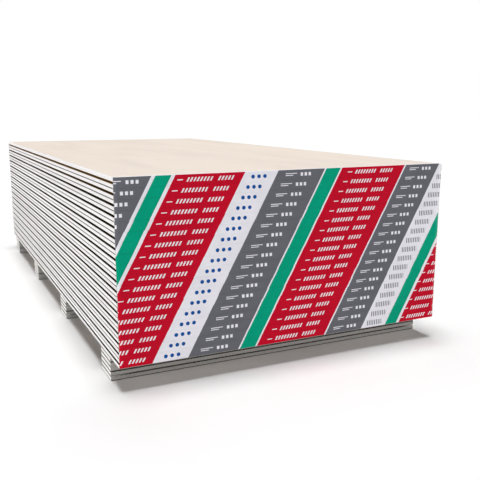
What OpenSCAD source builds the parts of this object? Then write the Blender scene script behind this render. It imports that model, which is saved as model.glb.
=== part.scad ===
// Lift of drywall sheets, taped in pairs and lying flat on cross risers.
// Each pair lies face to face, so its tapered long edges meet in the middle
// of the pair, and the backs of the sheets are what one sees from outside.

/* [Sheet] */
// Width across the two tapered edges, a 4 ft sheet (mm)
sheet_w = 1219.2; // [600:0.1:1250]
// Length between the two cut ends, an 8 ft sheet (mm)
sheet_l = 2438.4; // [1800:0.1:3660]
// Thickness, a 5/8 in sheet (mm)
sheet_t = 15.875; // [9.5:0.005:19]
// Width of the tapered band along each long edge (mm)
taper_w = 60; // [40:1:80]
// How much thinner the sheet is at its tapered edge (mm)
taper_d = 2; // [0.8:0.1:2.3]
// Radius where the face paper is wrapped round the long edge (mm)
wrap_r = 2; // [0.8:0.1:3]

/* [Pairs] */
// Taped pairs in the lift
pair_count = 18; // [2:1:18]

/* [End tape] */
// Thickness of the tape paper (mm)
tape_t = 0.2; // [0.1:0.05:0.3]
// How far the tape is folded over the back of each sheet (mm)
tape_fold = 14; // [8:1:30]
// How far the tape stops short of each long edge (mm)
tape_inset = 1.5; // [0:0.5:10]
// Clearance between the folded tapes of one pair and the next (mm)
fold_clear = 0.1; // [0.05:0.05:0.3]

/* [Risers] */
// Risers under the lift, spread evenly along its length
riser_count = 4; // [2:1:5]
// Width of a riser along the length of the sheets (mm)
riser_w = 117; // [80:1:150]
// Distance from the end of the sheets to the nearest riser (mm)
riser_inset = 104; // [60:1:250]
// Strips of sheet stacked in one riser
strip_count = 5; // [2:1:6]
// Glue line between the strips of a riser (mm)
glue_t = 0.2; // [0.1:0.05:0.4]

/* [Hidden] */
sheet_count = 2 * pair_count;
pair_t = 2 * sheet_t;
pair_gap = 2 * tape_t + fold_clear;
pair_pitch = pair_t + pair_gap;
tape_w = sheet_w - 2 * tape_inset;
strip_pitch = sheet_t + glue_t;
riser_h = strip_count * strip_pitch - glue_t;
riser_pitch = (sheet_l - 2 * riser_inset - riser_w) / (riser_count - 1);
arc_steps = 6;
past = 1;

// Section of a sheet, face up: half of it, from the back round to the face
taper_a = atan(taper_d / taper_w);
face_z = sheet_t - (taper_w - wrap_r) * tan(taper_a) - wrap_r / cos(taper_a);
half_section = concat(
    arc(sheet_w / 2 - wrap_r, wrap_r, -90, 0),
    arc(sheet_w / 2 - wrap_r, face_z, 0, 90 - taper_a),
    [[sheet_w / 2 - taper_w, sheet_t]]
);
section = concat(
    half_section,
    [for (k = [len(half_section) - 1:-1:0]) [-half_section[k][0], half_section[k][1]]]
);

function arc(x, z, from, to) = [
    for (k = [0:arc_steps])
        let (a = from + (to - from) * k / arc_steps)
            [x + wrap_r * cos(a), z + wrap_r * sin(a)]
];
function sheet_name(i) = str("sheet_", i < 10 ? "0" : "", i);
function riser_name(k) = str("riser_", k);
function is_upper(i) = i % 2 == 0;
function sheet_z(i) = riser_h + floor((i - 1) / 2) * pair_pitch + (is_upper(i) ? sheet_t : 0);
function riser_y(k) = -sheet_l / 2 + riser_inset + riser_w / 2 + (k - 1) * riser_pitch;

// A length of sheet, lying back down
module board(length) {
    rotate([90, 0, 0])
        linear_extrude(height = length, center = true)
            polygon(section);
}

// The same, turned over to lie face down
module board_turned(length) {
    translate([0, 0, sheet_t])
        rotate([0, 180, 0])
            board(length);
}

module board_laid(length, turned) {
    if (turned) board_turned(length);
    else board(length);
}

// Sheets are numbered from the bottom, and every second one is turned over
module sheet(i) {
    color("AntiqueWhite")
        translate([0, 0, sheet_z(i)])
            board_laid(sheet_l, is_upper(i));
}

// One tape holds the two ends of a pair together and folds over both backs
module end_tape() {
    translate([-tape_w / 2, -sheet_l / 2 - tape_t, -tape_t])
        difference() {
            cube([tape_w, tape_t + tape_fold, pair_t + 2 * tape_t]);
            translate([-past, tape_t, tape_t])
                cube([tape_w + 2 * past, tape_fold + past, pair_t]);
        }
}

module end_tapes() {
    for (i = [1:2:sheet_count])
        translate([0, 0, sheet_z(i)])
            end_tape();
}

module front_end_tapes() {
    color("Crimson")
        end_tapes();
}

module rear_end_tapes() {
    color("WhiteSmoke")
        mirror([0, 1, 0])
            end_tapes();
}

// Strips cut across a sheet, so the ends of a riser are the sheet's wrapped edges
module riser(k) {
    color("Gainsboro")
        for (s = [1:strip_count])
            translate([0, riser_y(k), (s - 1) * strip_pitch])
                board_laid(riser_w, is_upper(s));
}

for (i = [1:sheet_count]) sheet(i);
front_end_tapes();
rear_end_tapes();
for (k = [1:riser_count]) riser(k);
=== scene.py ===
import math
import random

import bpy
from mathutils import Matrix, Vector, noise


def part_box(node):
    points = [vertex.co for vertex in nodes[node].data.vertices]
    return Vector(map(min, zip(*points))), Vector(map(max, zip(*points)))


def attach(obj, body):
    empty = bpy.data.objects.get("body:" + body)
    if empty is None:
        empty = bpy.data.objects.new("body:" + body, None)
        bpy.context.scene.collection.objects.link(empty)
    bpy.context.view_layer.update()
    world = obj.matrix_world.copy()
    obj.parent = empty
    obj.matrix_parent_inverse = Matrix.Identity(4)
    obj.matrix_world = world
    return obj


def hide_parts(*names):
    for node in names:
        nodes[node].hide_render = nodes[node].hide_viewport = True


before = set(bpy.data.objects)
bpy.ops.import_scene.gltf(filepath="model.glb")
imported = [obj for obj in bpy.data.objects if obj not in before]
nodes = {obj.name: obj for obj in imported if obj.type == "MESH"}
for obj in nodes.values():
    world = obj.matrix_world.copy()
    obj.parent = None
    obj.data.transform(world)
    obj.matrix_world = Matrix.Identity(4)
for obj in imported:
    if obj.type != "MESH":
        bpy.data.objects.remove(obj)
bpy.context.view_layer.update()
sheetNames = sorted(name for name in nodes if name.startswith("sheet_"))
riserNames = sorted(name for name in nodes if name.startswith("riser_"))
print("frame:", len(sheetNames), "sheets and", len(riserNames), "risers")

# sizes that the materials and the tapes share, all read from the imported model, in metres
mm = 0.001
sheetLow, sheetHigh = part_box(sheetNames[0])
sheetThick = sheetHigh.z - sheetLow.z
halfWide = sheetHigh.x
halfLong = sheetHigh.y
stackBase = sheetLow.z
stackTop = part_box(sheetNames[-1])[1].z
stackHigh = stackTop - stackBase
stackMiddle = stackBase + stackHigh / 2
pairCount = len(sheetNames) // 2
pairThick = 2 * sheetThick
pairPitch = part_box(sheetNames[2])[0].z - stackBase
riserLow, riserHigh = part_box(riserNames[0])
riserTall = riserHigh.z - riserLow.z
stripCount = round(riserTall / sheetThick)
stripPitch = (riserTall - sheetThick) / (stripCount - 1)
tapeLow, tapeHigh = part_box("front_end_tapes")


def paint(red, green, blue):
    # screen colour, 0 to 255, as the linear colour that a shader takes
    parts = [level / 255 for level in (red, green, blue)]
    return [c / 12.92 if c <= 0.04045 else ((c + 0.055) / 1.055) ** 2.4 for c in parts] + [1.0]


plainWhite = paint(255, 255, 255)


# node helpers

def put(tree, kind, inputs=None, **settings):
    made = tree.nodes.new(kind)
    for name, value in settings.items():
        setattr(made, name, value)
    for name, value in (inputs or {}).items():
        feed(tree, made.inputs[name], value)
    return made


def feed(tree, socket, value):
    if isinstance(value, bpy.types.NodeSocket):
        tree.links.new(value, socket)
    else:
        socket.default_value = value


def calc(tree, operation, *values):
    made = put(tree, "ShaderNodeMath", operation=operation)
    for socket, value in zip(made.inputs, values):
        feed(tree, socket, value)
    return made.outputs[0]


def mixColour(tree, share, first, second, how="MIX"):
    made = put(tree, "ShaderNodeMix", data_type="RGBA", blend_type=how, clamp_factor=True)
    for index, value in ((0, share), (6, first), (7, second)):    # the sockets of a colour mix
        feed(tree, made.inputs[index], value)
    return made.outputs[2]


def tint(tree, mask, amount, under, over):
    # lays a colour over another by a mask, at most by the amount
    return mixColour(tree, calc(tree, "MULTIPLY", mask, amount), under, over)


def ease(tree, value, low, high):
    # 0 below low, 1 above high, smooth between
    made = put(tree, "ShaderNodeMapRange", {"Value": value, "From Min": low, "From Max": high},
               interpolation_type="SMOOTHSTEP")
    return made.outputs["Result"]


def fade(tree, value, low, high):
    # 1 below low, 0 above high, smooth between
    return calc(tree, "SUBTRACT", 1.0, ease(tree, value, low, high))


def apart(tree, first, second):
    return calc(tree, "ABSOLUTE", calc(tree, "SUBTRACT", first, second))


def stripe(tree, value, middle, half):
    # 1 within half of the middle
    return calc(tree, "LESS_THAN", apart(tree, value, middle), half)


def blotch(tree, vector, size, detail, rough):
    made = put(tree, "ShaderNodeTexNoise",
               {"Vector": vector, "Scale": size, "Detail": detail, "Roughness": rough})
    return made.outputs["Fac"]


def split(tree, vector):
    return put(tree, "ShaderNodeSeparateXYZ", {"Vector": vector}).outputs


def objectPlace(tree):
    return put(tree, "ShaderNodeTexCoord").outputs["Object"]


def surfaceNormal(tree):
    return put(tree, "ShaderNodeNewGeometry").outputs["Normal"]


def startGroup(name, inputs, outputs):
    tree = bpy.data.node_groups.new(name, "ShaderNodeTree")
    for title, kind, value in inputs:
        socket = tree.interface.new_socket(title, in_out="INPUT", socket_type=kind)
        if value is not None:
            socket.default_value = value
    for title, kind in outputs:
        tree.interface.new_socket(title, in_out="OUTPUT", socket_type=kind)
    return tree, tree.nodes.new("NodeGroupInput").outputs, tree.nodes.new("NodeGroupOutput").inputs


def useGroup(tree, group, inputs):
    return put(tree, "ShaderNodeGroup", inputs, node_tree=group).outputs


def startMaterial(name):
    made = bpy.data.materials.new(name)
    made.use_nodes = True
    tree = made.node_tree
    return made, tree, tree.nodes["Principled BSDF"]


def patchyRoughness(tree, look, mottle):
    # roughness that wanders about its mean with the mottle
    spread = look["roughSpread"]
    return calc(tree, "MULTIPLY_ADD", mottle, spread, look["roughness"] - spread / 2)


def dress(tree, shader, look, colour, roughness, height):
    feed(tree, shader.inputs["Base Color"], colour)
    feed(tree, shader.inputs["Roughness"], roughness)
    shader.inputs["Specular IOR Level"].default_value = look["gloss"]
    bump = put(tree, "ShaderNodeBump",
               {"Height": height, "Strength": look["bump"], "Distance": look["bumpDeep"]})
    feed(tree, shader.inputs["Normal"], bump.outputs["Normal"])


def cover(piece, material):
    piece.data.materials.clear()
    piece.data.materials.append(material)


def addObject(name, data):
    made = bpy.data.objects.new(name, data)
    bpy.context.scene.collection.objects.link(made)
    return made


# effects that several materials use

grainShape = {
    "drawn": (1.0, 0.22, 1.0),    # fibres lie mostly along the sheet
    "fibre": (3.0, 0.65),         # detail and roughness of each noise
    "fleck": (1.0, 0.5),
    "mottle": (4.0, 0.55),
    "fleckLimits": (0.66, 0.74),  # only the noise's peaks are flecks
}


def makePaperGrain(shape):
    # fine fibres and a few darker flecks over a slow cloudy mottle
    tree, given, out = startGroup(
        "paperGrain",
        [("Place", "NodeSocketVector", None), ("Fibre Size", "NodeSocketFloat", 900.0),
         ("Fleck Size", "NodeSocketFloat", 950.0), ("Mottle Size", "NodeSocketFloat", 7.0)],
        [("Fibre", "NodeSocketFloat"), ("Fleck", "NodeSocketFloat"), ("Mottle", "NodeSocketFloat")])
    drawn = put(tree, "ShaderNodeMapping", {"Vector": given["Place"], "Scale": shape["drawn"]}).outputs[0]
    fleck = blotch(tree, drawn, given["Fleck Size"], *shape["fleck"])
    tree.links.new(blotch(tree, drawn, given["Fibre Size"], *shape["fibre"]), out["Fibre"])
    tree.links.new(ease(tree, fleck, *shape["fleckLimits"]), out["Fleck"])
    tree.links.new(blotch(tree, drawn, given["Mottle Size"], *shape["mottle"]), out["Mottle"])
    return tree


scuffShape = {
    "turn": (0.0, 0.0, 0.6),      # rubs lie slantwise, in radians
    "drawn": (1.0, 0.18, 0.6),
    "noise": (5.0, 0.7),          # detail and roughness
    "rarest": 0.86,               # noise level where rubs start when their amount is 0
    "perAmount": 0.25,            # how much lower they start when it is 1
    "soft": 0.12,
}


def makeScuffs(shape):
    # sparse short rubs from handling
    tree, given, out = startGroup(
        "scuffs",
        [("Place", "NodeSocketVector", None), ("Size", "NodeSocketFloat", 18.0),
         ("Amount", "NodeSocketFloat", 0.3)],
        [("Mask", "NodeSocketFloat")])
    drawn = put(tree, "ShaderNodeMapping",
                {"Vector": given["Place"], "Rotation": shape["turn"], "Scale": shape["drawn"]})
    rub = blotch(tree, drawn.outputs[0], given["Size"], *shape["noise"])
    lower = calc(tree, "MULTIPLY", given["Amount"], shape["perAmount"])
    start = calc(tree, "SUBTRACT", shape["rarest"], lower)
    tree.links.new(ease(tree, rub, start, calc(tree, "ADD", start, shape["soft"])), out["Mask"])
    return tree


sideLimits = {
    "edge": (0.15, 0.6),          # how far the normal turns across the board on a wrapped edge
    "cut": 0.7,                   # and along it on a cut end
}


def makeBoardSides(limits):
    # which side of a board a point is on, from its normal
    tree, given, out = startGroup(
        "boardSides",
        [("Normal", "NodeSocketVector", None)],
        [("Edge", "NodeSocketFloat"), ("Cut", "NodeSocketFloat")])
    facing = split(tree, given["Normal"])
    tree.links.new(ease(tree, calc(tree, "ABSOLUTE", facing["X"]), *limits["edge"]), out["Edge"])
    cut = calc(tree, "GREATER_THAN", calc(tree, "ABSOLUTE", facing["Y"]), limits["cut"])
    tree.links.new(cut, out["Cut"])
    return tree


paperGrain = makePaperGrain(grainShape)
scuffs = makeScuffs(scuffShape)
boardSides = makeBoardSides(sideLimits)
print("shared effects: paper grain, scuffs, board sides")


# sheets

sheetLook = {
    "back": paint(241, 229, 218),
    "backDeep": paint(235, 223, 212),
    "backCloud": (0.35, 0.7),     # mottle from the one colour to the other
    "backFlecks": 0.4,
    "fleck": paint(186, 168, 150),
    "lapWide": 6 * mm,            # face paper that shows on the back
    # painted shade along the seam where the back paper's edge laps the face paper
    "seamAndShade": paint(205, 194, 180),
    "seamWide": 2.2 * mm,
    "edge": paint(247, 244, 243),
    "edgeDeep": paint(234, 230, 230),
    "edgeCloud": (0.3, 0.9),
    "edgeFlecks": 0.25,
    "ownTone": 0.4,               # share of an edge's tone that each sheet has for itself
    # painted shade between two pairs, where their rounded edges meet
    "gapShade": paint(62, 58, 55),
    "gapHalf": 1.6 * mm,
    "gapCore": 0.6,               # share of the line that is fully dark
    # painted shade in the grooves where two tapers meet, browner near the top of the stack
    "grooveShade": paint(44, 30, 12),
    "grooveShadeTop": paint(128, 95, 46),
    "grooveHalf": 4.5 * mm,
    "grooveCore": 0.85,
    "brownPairs": 2.5,            # how many pairs down the brown reaches
    "core": paint(214, 211, 206),
    "rubs": 0.25,
    "rubTint": 0.12,
    "gloss": 0.0,                 # uncoated paper
    "roughness": 0.85,
    "roughSpread": 0.2,
    "fibreHeight": 0.5,
    "seamHeight": -0.6,
    "bump": 0.25,
    "bumpDeep": 0.4 * mm,
}


def makeSheetPaper(look):
    made, tree, shader = startMaterial("sheetPaper")
    place = objectPlace(tree)
    spot = split(tree, place)
    sides = useGroup(tree, boardSides, {"Normal": surfaceNormal(tree)})
    grain = useGroup(tree, paperGrain, {"Place": place})
    rubs = useGroup(tree, scuffs, {"Place": place, "Amount": look["rubs"]})

    # cream back paper, with the white face paper lapped round the long edges and a line of painted shade
    # along the lap's seam
    cloudy = ease(tree, grain["Mottle"], *look["backCloud"])
    back = mixColour(tree, cloudy, look["back"], look["backDeep"])
    inward = calc(tree, "SUBTRACT", halfWide, calc(tree, "ABSOLUTE", spot["X"]))
    lap = calc(tree, "LESS_THAN", inward, look["lapWide"])
    seamAndShade = fade(tree, inward, look["lapWide"], look["lapWide"] + look["seamWide"])
    back = mixColour(tree, seamAndShade, back, look["seamAndShade"])
    back = tint(tree, grain["Fleck"], look["backFlecks"], back, look["fleck"])

    # every sheet's edge is a slightly different white
    above = calc(tree, "SUBTRACT", spot["Z"], stackBase)
    sheet = calc(tree, "FLOOR", calc(tree, "DIVIDE", above, sheetThick))
    batch = put(tree, "ShaderNodeTexWhiteNoise", {"W": sheet}, noise_dimensions="1D")
    own = calc(tree, "MULTIPLY", batch.outputs["Value"], look["ownTone"])
    tone = calc(tree, "MULTIPLY_ADD", grain["Mottle"], 1 - look["ownTone"], own)
    edge = mixColour(tree, ease(tree, tone, *look["edgeCloud"]), look["edge"], look["edgeDeep"])
    edge = tint(tree, grain["Fleck"], look["edgeFlecks"], edge, look["fleck"])
    paper = mixColour(tree, calc(tree, "MAXIMUM", sides["Edge"], lap), back, edge)

    # painted shade: a thin dark line between two pairs, where their wrapped edges round into each other
    inPair = calc(tree, "FLOORED_MODULO", above, pairPitch)
    fromMiddle = apart(tree, inPair, sheetThick)
    gapStart = sheetThick - look["gapHalf"]
    gapFull = sheetThick - look["gapHalf"] * look["gapCore"]
    gapShadeMask = calc(tree, "MULTIPLY", ease(tree, fromMiddle, gapStart, gapFull), lap)
    within = stripe(tree, spot["Z"], stackMiddle, (stackHigh - sheetThick) / 2)    # none at top and bottom
    paper = mixColour(tree, calc(tree, "MULTIPLY", gapShadeMask, within), paper, look["gapShade"])

    # painted shade: the tapers meet in a groove at the middle of each pair, and the groove is painted dark,
    # browner near the top
    grooveShade = fade(tree, fromMiddle, look["grooveHalf"] * look["grooveCore"], look["grooveHalf"])
    nearTop = ease(tree, spot["Z"], stackTop - look["brownPairs"] * pairPitch, stackTop)
    paper = mixColour(tree, grooveShade, paper, mixColour(tree, nearTop, look["grooveShade"], look["grooveShadeTop"]))
    paper = tint(tree, rubs["Mask"], look["rubTint"], paper, look["core"])

    colour = mixColour(tree, sides["Cut"], paper, look["core"])
    sunk = calc(tree, "MULTIPLY", seamAndShade, look["seamHeight"])
    height = calc(tree, "MULTIPLY_ADD", grain["Fibre"], look["fibreHeight"], sunk)
    dress(tree, shader, look, colour, patchyRoughness(tree, look, grain["Mottle"]), height)
    return made


sheetPaper = makeSheetPaper(sheetLook)
for name in sheetNames:
    cover(nodes[name], sheetPaper)
print("sheets: paper on", len(sheetNames))


# risers

riserLook = {
    "paper": paint(247, 245, 242),
    "paperDeep": paint(236, 233, 229),
    "paperCloud": (0.3, 0.75),
    "flecks": 0.3,
    "rubs": 0.5,
    "rubSize": 26.0,
    "rubTint": 0.3,
    # painted shade in the joints between strips on their wrapped ends
    "joint": paint(34, 29, 23),
    "taperHalf": 4.0 * mm,        # where the tapers of two strips meet
    "backHalf": 2.8 * mm,         # where their backs meet
    "jointCore": 0.6,             # share of a joint's line that is fully dark
    # grey sawn gypsum, darker than the sheets' core: partly painted shade for sides that sit under the stack
    "core": paint(171, 169, 166),
    "coreDeep": paint(150, 148, 145),
    "coreCloud": (0.35, 0.75),
    "crumb": (420.0, 4.0, 0.7),   # size, detail and roughness of the sawn core's noise
    "cutPaperAndShade": paint(38, 34, 30),
    "cutHalf": 2.3 * mm,          # half the dark line that the cut papers of two strips and the painted shade between them make
    "gloss": 0.0,
    "roughness": 0.88,
    "roughSpread": 0.2,
    "fibreHeight": 0.3,
    "bump": 0.5,
    "bumpDeep": 0.8 * mm,
}


def makeRiserBoard(look):
    made, tree, shader = startMaterial("riserBoard")
    place = objectPlace(tree)
    sides = useGroup(tree, boardSides, {"Normal": surfaceNormal(tree)})
    grain = useGroup(tree, paperGrain, {"Place": place})
    rubs = useGroup(tree, scuffs, {"Place": place, "Amount": look["rubs"], "Size": look["rubSize"]})
    cloudy = ease(tree, grain["Mottle"], *look["paperCloud"])
    paper = mixColour(tree, cloudy, look["paper"], look["paperDeep"])
    paper = tint(tree, rubs["Mask"], look["rubTint"], paper, look["coreDeep"])
    paper = tint(tree, grain["Fleck"], look["flecks"], paper, look["core"])

    # how far a point is from the nearest joint between two strips, counted from the floor up
    above = calc(tree, "SUBTRACT", split(tree, place)["Z"], riserLow.z)
    level = calc(tree, "DIVIDE", above, stripPitch)
    joint = calc(tree, "ROUND", level)
    fromJoint = calc(tree, "MULTIPLY", apart(tree, level, joint), stripPitch)

    # wrapped ends: painted shade in the joints between strips, where every second joint is the wider one
    # between two tapers
    tapers = calc(tree, "FLOORED_MODULO", joint, 2.0)
    lineHalf = calc(tree, "MULTIPLY_ADD", tapers, look["taperHalf"] - look["backHalf"], look["backHalf"])
    line = fade(tree, fromJoint, calc(tree, "MULTIPLY", lineHalf, look["jointCore"]), lineHalf)
    paper = mixColour(tree, calc(tree, "MULTIPLY", line, sides["Edge"]), paper, look["joint"])

    # sawn long sides: grey core, partly painted shade, between dark lines of cut paper with painted shade
    # where the strips meet
    crumb = blotch(tree, place, *look["crumb"])
    core = mixColour(tree, ease(tree, crumb, *look["coreCloud"]), look["core"], look["coreDeep"])
    core = mixColour(tree, calc(tree, "LESS_THAN", fromJoint, look["cutHalf"]), core, look["cutPaperAndShade"])

    colour = mixColour(tree, sides["Cut"], paper, core)
    sawn = calc(tree, "MULTIPLY", crumb, sides["Cut"])
    height = calc(tree, "MULTIPLY_ADD", grain["Fibre"], look["fibreHeight"], sawn)
    dress(tree, shader, look, colour, patchyRoughness(tree, look, grain["Mottle"]), height)
    return made


riserBoard = makeRiserBoard(riserLook)
for name in riserNames:
    cover(nodes[name], riserBoard)
print("risers: board on", len(riserNames))


# end tapes: the folded paper

tapeShape = {
    "columns": 96,
    "lapSteps": 3,
    "foldSteps": 3,
    "faceSteps": 4,               # from a fold to the middle of the face
    "foldRadius": 0.55 * mm,
    "thick": 0.2 * mm,
    "bulge": 0.35 * mm,
    "bulgeClear": 2 * mm,         # the paper lies flat this near the folds
    "bulgeNoise": (9, 40, 3.7),   # along the tape, across it and from row to row
    "endSlack": 0.8 * mm,         # how unevenly the tapes are torn off
    "printSlack": 0.9 * mm,       # how far a row's print is off its neighbours'
    "slant": 0.55,                # how far the print leans, across over up
    "bakeShelves": 5,
    "bakeMargin": 0.04,
    "seed": 21,
}


def tapeProfile(shape):
    # outer side of a tape, from its upper free edge to its lower one: way over the paper, y, z
    thick, radius = shape["thick"], shape["foldRadius"]
    front = -halfLong - thick
    inner = tapeHigh.y
    top = pairThick + thick
    middle = pairThick / 2
    straight = top - middle - radius
    corner = math.pi / 2 * radius
    lap = inner - front - radius
    points = []
    for step in range(shape["lapSteps"]):
        share = step / shape["lapSteps"]
        points.append((straight + corner + lap * (1 - share), inner - lap * share, top))
    for step in range(shape["foldSteps"] + 1):
        share = step / shape["foldSteps"]
        angle = share * math.pi / 2
        points.append((straight + corner * (1 - share), front + radius - radius * math.sin(angle),
                       top - radius + radius * math.cos(angle)))
    for step in range(1, shape["faceSteps"]):
        share = step / shape["faceSteps"]
        points.append((straight * (1 - share), front, top - radius - straight * share))
    mirrored = [(-way, y, pairThick - z) for way, y, z in reversed(points)]
    return points + [(0.0, front, middle)] + mirrored


def tapePoints(row, profile, shape, draw):
    # points of one row, column by column, and where each of them lies on the print
    base = stackBase + row * pairPitch
    left = tapeLow.x + draw.uniform(-1, 1) * shape["endSlack"]
    right = tapeHigh.x + draw.uniform(-1, 1) * shape["endSlack"]
    printShift = draw.uniform(-1, 1) * shape["printSlack"]
    lean = shape["slant"] * (base + pairThick / 2 - stackMiddle)
    alongNoise, acrossNoise, rowNoise = shape["bulgeNoise"]
    points, printAt = [], []
    for column in range(shape["columns"] + 1):
        x = left + (right - left) * column / shape["columns"]
        for way, y, z in profile:
            swell = 0.0
            if abs(way) < pairThick / 2 - shape["bulgeClear"]:
                crown = math.cos(math.pi * way / pairThick)
                uneven = noise.noise(Vector((x * alongNoise, way * acrossNoise, row * rowNoise)))
                swell = shape["bulge"] * crown * (0.5 + 0.5 * uneven)
            points.append((x, y - swell, base + z))
            printAt.append((x - lean + printShift, way))
    return points, printAt


def mapTape(mesh, profile, printAt, shape):
    # one map places the print, the other lays the long tape out in shelves for a bake
    for name in ("printMap", "OFBake"):
        mesh.uv_layers.new(name=name)
    printMap = mesh.uv_layers["printMap"].data
    bakeMap = mesh.uv_layers["OFBake"].data
    many = len(profile)
    reach = profile[0][0]
    shelves, margin = shape["bakeShelves"], shape["bakeMargin"]
    perShelf = shape["columns"] / shelves
    for face in mesh.polygons:
        shelf = int(face.index // (many - 1) / perShelf)
        for index in face.loop_indices:
            point = mesh.loops[index].vertex_index
            column, step = divmod(point, many)
            along = (column - shelf * perShelf) / (perShelf + 1)
            up = (profile[step][0] + reach) / (2 * reach)
            printMap[index].uv = printAt[point]
            bakeMap[index].uv = (along, (shelf + margin + (1 - 2 * margin) * up) / shelves)


def addTape(end, row, shape, draw):
    name = "%s_tape_%02d" % (end["name"], row + 1)
    profile = tapeProfile(shape)
    points, printAt = tapePoints(row, profile, shape, draw)
    many = len(profile)
    faces = [(c * many + p, c * many + p + 1, (c + 1) * many + p + 1, (c + 1) * many + p)
             for c in range(shape["columns"]) for p in range(many - 1)]
    mesh = bpy.data.meshes.new(name)
    mesh.from_pydata(points, [], faces)
    mesh.shade_smooth()
    mapTape(mesh, profile, printAt, shape)
    mesh.materials.append(end["paper"])
    piece = addObject(name, mesh)
    piece.rotation_euler.z = end["turn"]
    paper = piece.modifiers.new("paper", "SOLIDIFY")
    paper.thickness = shape["thick"]
    paper.offset = -1             # inwards from the outer side
    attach(piece, "root")
    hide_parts(end["node"])


# end tapes: the print in front

tapeGrain = {"Fibre Size": 1400.0, "Mottle Size": 16.0}    # finer paper than on the sheets
printLook = {
    "red": paint(198, 12, 42),
    "green": paint(0, 160, 126),
    "slate": paint(105, 106, 113),
    "white": paint(239, 238, 245),
    "blue": paint(22, 84, 160),
    # bands from left to right at mid height: ink, width in mm, marks
    "bands": [("slate", 150, "rules"), ("white", 9, None), ("green", 52, None), ("white", 9, None),
              ("red", 236, "hatch"), ("white", 118, "dots"), ("slate", 176, "rules"), ("white", 9, None),
              ("green", 52, None), ("white", 9, None), ("red", 262, "hatch"), ("white", 9, None),
              ("slate", 150, "rules"), ("white", 104, "ticks"), ("green", 52, None), ("white", 9, None),
              ("red", 200, "hatch")],
    # plain marks, in mm from the middle of their band and row: left, right, low, high, pitch
    "marks": {
        "hatch": {"ink": "white", "fill": 0.5, "leans": True,
                  "bars": [(-66, 22, -6, 7, 11), (38, 93, -6, 7, 11), (-98, -80, -1, 2, 0)]},
        "rules": {"ink": "white", "fill": 0.6, "leans": False,
                  "bars": [(-50, -8, 3, 5.5, 0), (-50, -22, -3, -0.5, 0), (6, 50, -4.5, 6.5, 15)]},
        "ticks": {"ink": "slate", "fill": 0.45, "leans": False, "bars": [(-33, 32, -9, 9, 8)]},
        "dots": {"ink": "blue", "leans": False, "left": -31.5, "right": 31.5, "radius": 6.3, "pitch": 21},
    },
    "bareFrom": 1.4 * mm,         # the print ends this far past the folds
    "bareTo": 1.8 * mm,
    "shadeLow": 0.89,             # uneven ink
    "shadeSpread": 0.22,
    "rubs": 0.35,
    "rubSize": 30.0,
    "rubTint": 0.25,
    "rubRough": 0.2,
    "gloss": 0.04,                # matt ink
    "roughness": 0.5,
    "roughSpread": 0.2,
    "bump": 0.15,
    "bumpDeep": 0.2 * mm,
}
printWide = sum(width for ink, width, mark in printLook["bands"]) * mm


def bandRamp(tree, along, look):
    share = put(tree, "ShaderNodeMapRange",
                {"Value": along, "From Min": -printWide / 2, "From Max": printWide / 2})
    ramp = put(tree, "ShaderNodeValToRGB", {"Fac": share.outputs["Result"]})
    stops = ramp.color_ramp
    stops.interpolation = "CONSTANT"
    stops.elements.remove(stops.elements[1])
    start = 0.0
    for index, (ink, width, mark) in enumerate(look["bands"]):
        stop = stops.elements.new(start / printWide) if index else stops.elements[0]
        stop.color = look[ink]
        start += width * mm
    return ramp.outputs["Color"]


def between(tree, value, low, high):
    # 1 from low to high, in mm
    return stripe(tree, value, (low + high) / 2 * mm, (high - low) / 2 * mm)


def stepOf(tree, along, left, pitch):
    # how far a point is into its step of a row, in metres
    return calc(tree, "FLOORED_MODULO", calc(tree, "SUBTRACT", along, left * mm), pitch * mm)


def barMask(tree, along, up, mark):
    # blocks, cut into bars where they have a pitch
    found = 0.0
    for left, right, low, high, pitch in mark["bars"]:
        block = calc(tree, "MULTIPLY", between(tree, along, left, right), between(tree, up, low, high))
        if pitch:
            inked = calc(tree, "LESS_THAN", stepOf(tree, along, left, pitch), pitch * mm * mark["fill"])
            block = calc(tree, "MULTIPLY", block, inked)
        found = calc(tree, "MAXIMUM", found, block)
    return found


def dotMask(tree, along, up, mark):
    step = stepOf(tree, along, mark["left"], mark["pitch"])
    aside = calc(tree, "SUBTRACT", step, mark["pitch"] * mm / 2)
    far = calc(tree, "MULTIPLY_ADD", aside, aside, calc(tree, "MULTIPLY", up, up))
    dot = calc(tree, "LESS_THAN", far, (mark["radius"] * mm) ** 2)
    return calc(tree, "MULTIPLY", between(tree, along, mark["left"], mark["right"]), dot)


def printMarks(tree, ink, along, onPrint, look):
    # marks that lean are set out along the slanted bands, and upright ones straight across
    start = -printWide / 2
    for band, width, markName in look["bands"]:
        if markName:
            mark = look["marks"][markName]
            line = along if mark["leans"] else onPrint["X"]
            fromMiddle = calc(tree, "SUBTRACT", line, start + width * mm / 2)
            makeMask = barMask if "bars" in mark else dotMask
            ink = mixColour(tree, makeMask(tree, fromMiddle, onPrint["Y"], mark), ink, look[mark["ink"]])
        start += width * mm
    return ink


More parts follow.
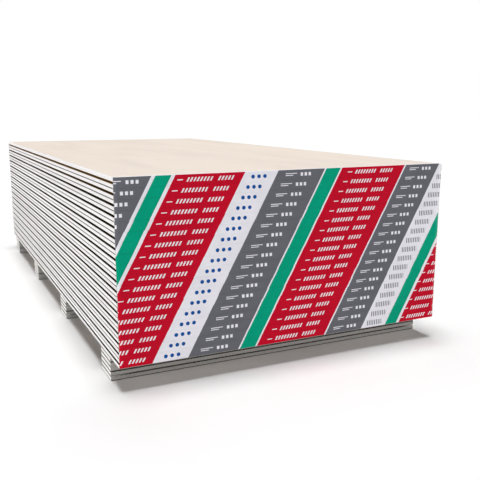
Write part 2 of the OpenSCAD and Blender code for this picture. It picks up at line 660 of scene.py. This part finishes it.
def makePrintedTape(look):
    made, tree, shader = startMaterial("printedTape")
    place = objectPlace(tree)
    onPrint = split(tree, put(tree, "ShaderNodeUVMap", uv_map="printMap").outputs["UV"])
    along = calc(tree, "MULTIPLY_ADD", onPrint["Y"], -tapeShape["slant"], onPrint["X"])
    ink = printMarks(tree, bandRamp(tree, along, look), along, onPrint, look)

    # bare paper on the laps, then uneven ink and rubs
    past = calc(tree, "ABSOLUTE", onPrint["Y"])
    bare = ease(tree, past, pairThick / 2 + look["bareFrom"], pairThick / 2 + look["bareTo"])
    ink = mixColour(tree, bare, ink, look["white"])
    grain = useGroup(tree, paperGrain, {"Place": place, **tapeGrain})
    rubs = useGroup(tree, scuffs, {"Place": place, "Amount": look["rubs"], "Size": look["rubSize"]})
    shade = calc(tree, "MULTIPLY_ADD", grain["Mottle"], look["shadeSpread"], look["shadeLow"])
    grey = put(tree, "ShaderNodeCombineColor", {"Red": shade, "Green": shade, "Blue": shade})
    ink = mixColour(tree, 1.0, ink, grey.outputs[0], "MULTIPLY")
    ink = tint(tree, rubs["Mask"], look["rubTint"], ink, look["white"])

    rubbed = calc(tree, "MULTIPLY", rubs["Mask"], look["rubRough"])
    roughness = calc(tree, "ADD", patchyRoughness(tree, look, grain["Mottle"]), rubbed)
    dress(tree, shader, look, ink, roughness, grain["Fibre"])
    return made


# end tapes: plain paper behind

plainLook = {
    "paper": paint(238, 237, 240),
    "paperDeep": paint(231, 230, 232),
    "paperCloud": (0.3, 0.75),
    # rubbed paper; also the colour of the painted shade on the folds and the crease
    "rubbed": paint(196, 192, 187),
    "foldLine": 1.6 * mm,         # worn line along each fold, also painted shade where two rows meet
    "foldCore": 1 / 3,            # share of it that is fully darkened
    "foldWide": 5 * mm,           # how far from the folds the paper is rubbed
    "patchCloud": (0.4, 0.65),
    "creaseShade": 1.1 * mm,           # faint line of painted shade where the two sheets under the tape meet
    "rubs": 0.45,
    "rubSize": 30.0,
    "wearAndShade": {"patches": 0.3, "folds": 0.8, "creaseShade": 0.35, "rubs": 0.4, "flecks": 0.3},
    "wornRough": 0.2,
    "gloss": 0.12,
    "roughness": 0.55,
    "bump": 0.2,
    "bumpDeep": 0.2 * mm,
}


def makePlainTape(look):
    made, tree, shader = startMaterial("plainTape")
    place = objectPlace(tree)
    onPrint = split(tree, put(tree, "ShaderNodeUVMap", uv_map="printMap").outputs["UV"])
    grain = useGroup(tree, paperGrain, {"Place": place, **tapeGrain})
    rubs = useGroup(tree, scuffs, {"Place": place, "Amount": look["rubs"], "Size": look["rubSize"]})
    cloudy = ease(tree, grain["Mottle"], *look["paperCloud"])
    paper = mixColour(tree, cloudy, look["paper"], look["paperDeep"])

    # worn along the folds, with painted shade on the folds and where the sheets meet, rubbed here and there
    fold = pairThick / 2
    fromMiddle = calc(tree, "ABSOLUTE", onPrint["Y"])
    nearFold = ease(tree, fromMiddle, fold - look["foldWide"], fold)
    masks = {
        "patches": calc(tree, "MULTIPLY", nearFold, ease(tree, grain["Mottle"], *look["patchCloud"])),
        "folds": ease(tree, fromMiddle, fold - look["foldLine"], fold - look["foldLine"] * look["foldCore"]),
        "creaseShade": fade(tree, fromMiddle, 0.0, look["creaseShade"]),
        "rubs": rubs["Mask"],
        "flecks": grain["Fleck"],
    }
    wearAndShade = 0.0
    for name, mask in masks.items():
        wearAndShade = calc(tree, "MAXIMUM", wearAndShade, calc(tree, "MULTIPLY", mask, look["wearAndShade"][name]))

    roughness = calc(tree, "MULTIPLY_ADD", wearAndShade, look["wornRough"], look["roughness"])
    dress(tree, shader, look, mixColour(tree, wearAndShade, paper, look["rubbed"]), roughness, grain["Fibre"])
    return made


tapeEnds = [
    {"name": "front", "node": "front_end_tapes", "slot": "printed_tape", "turn": 0.0,
     "paper": makePrintedTape(printLook)},
    {"name": "rear", "node": "rear_end_tapes", "slot": "plain_tape", "turn": math.pi,
     "paper": makePlainTape(plainLook)},
]
tapeDraw = random.Random(tapeShape["seed"])
for end in tapeEnds:
    for row in range(pairCount):
        addTape(end, row, tapeShape, tapeDraw)
print("end tapes:", pairCount, "rows at each end, printed in front and plain behind")


# floor, light and camera

studio = {
    "floorColour": (0.9, 0.9, 0.9, 1.0),
    "floorLift": 0.12,            # what the camera sees on top of the floor's own light
    "paintedShadowReach": 0.6,              # the lift fades out towards the stack: a painted shadow that keeps the floor darker near it
    "floorHalf": 60.0,
    "skyLevel": 0.02,
    # a soft lamp overhead, and low ones that light the sides and hardly reach the floor:
    # level, angle across it, heading and height, in degrees
    "lamps": {
        "overhead": (0.83, 22, 305, 87.5),
        "left": (0.47, 10, 270, 5),
        "front": (0.305, 12, 185, 7),
        "rear": (0.26, 16, 5, 9),
        "right": (0.32, 16, 95, 7),
    },
}


def seenDirectly(tree):
    # 1 for rays that should meet plain white
    path = put(tree, "ShaderNodeLightPath").outputs
    mirrored = calc(tree, "MAXIMUM", path["Is Glossy Ray"], path["Is Transmission Ray"])
    return calc(tree, "MAXIMUM", path["Is Camera Ray"], mirrored)


def beyond(tree, value, half):
    # how far a point is outside a width
    return calc(tree, "MAXIMUM", calc(tree, "SUBTRACT", calc(tree, "ABSOLUTE", value), half), 0.0)


def makeFloor(look):
    half = look["floorHalf"]
    corners = [(-half, -half, 0), (half, -half, 0), (half, half, 0), (-half, half, 0)]
    mesh = bpy.data.meshes.new("floor")
    mesh.from_pydata(corners, [], [(0, 1, 2, 3)])
    floor = addObject("floor", mesh)
    made, tree, shader = startMaterial("floorWhite")
    matt = put(tree, "ShaderNodeBsdfDiffuse", {"Color": look["floorColour"]})
    spot = split(tree, objectPlace(tree))
    aside = beyond(tree, spot["X"], halfWide)
    along = beyond(tree, spot["Y"], halfLong)
    away = calc(tree, "SQRT", calc(tree, "MULTIPLY_ADD", aside, aside, calc(tree, "MULTIPLY", along, along)))
    # painted shadow: the floor glows less the nearer it is to the stack
    lift = calc(tree, "MULTIPLY", ease(tree, away, 0.0, look["paintedShadowReach"]), look["floorLift"])
    glow = put(tree, "ShaderNodeEmission", {"Strength": calc(tree, "MULTIPLY", seenDirectly(tree), lift)})
    both = put(tree, "ShaderNodeAddShader")
    tree.links.new(matt.outputs[0], both.inputs[0])
    tree.links.new(glow.outputs[0], both.inputs[1])
    tree.links.new(both.outputs[0], tree.nodes["Material Output"].inputs["Surface"])
    cover(floor, made)


def makeSky(look):
    world = bpy.data.worlds.new("studio")
    bpy.context.scene.world = world
    world.use_nodes = True
    tree = world.node_tree
    dim = tree.nodes["Background"]
    dim.inputs["Color"].default_value = plainWhite
    dim.inputs["Strength"].default_value = look["skyLevel"]
    white = put(tree, "ShaderNodeBackground", {"Color": plainWhite, "Strength": 1.0})
    choose = put(tree, "ShaderNodeMixShader", {"Fac": seenDirectly(tree)})
    tree.links.new(dim.outputs[0], choose.inputs[1])
    tree.links.new(white.outputs[0], choose.inputs[2])
    tree.links.new(choose.outputs[0], tree.nodes["World Output"].inputs["Surface"])


def addLamp(name, level, angle, heading, height):
    lamp = bpy.data.lights.new(name, "SUN")
    lamp.energy = level * math.pi    # a level of 1 lights a facing surface to its own colour
    lamp.angle = math.radians(angle)
    turn, rise = math.radians(heading), math.radians(height)
    toward = Vector((math.sin(turn) * math.cos(rise), math.cos(turn) * math.cos(rise), math.sin(rise)))
    addObject(name, lamp).rotation_euler = toward.to_track_quat("Z", "Y").to_euler()


makeFloor(studio)
makeSky(studio)
for name, setting in studio["lamps"].items():
    addLamp(name, *setting)

shot = {
    "place": (-1.0964, -3.0541, 0.8471),
    "azimuth": 25.08,             # degrees right of the stack's length
    "drop": 11.162,               # degrees below level
    "lens": 49.06,
    "shift": 0.02,
}
eye = bpy.data.cameras.new("shot")
eye.lens = shot["lens"]
eye.shift_x = shot["shift"]
camera = addObject("shot", eye)
camera.location = shot["place"]
camera.rotation_euler = (math.radians(90 - shot["drop"]), 0.0, -math.radians(shot["azimuth"]))
bpy.context.scene.camera = camera
bpy.context.scene.view_settings.view_transform = "Standard"
print("studio: floor, light and camera")
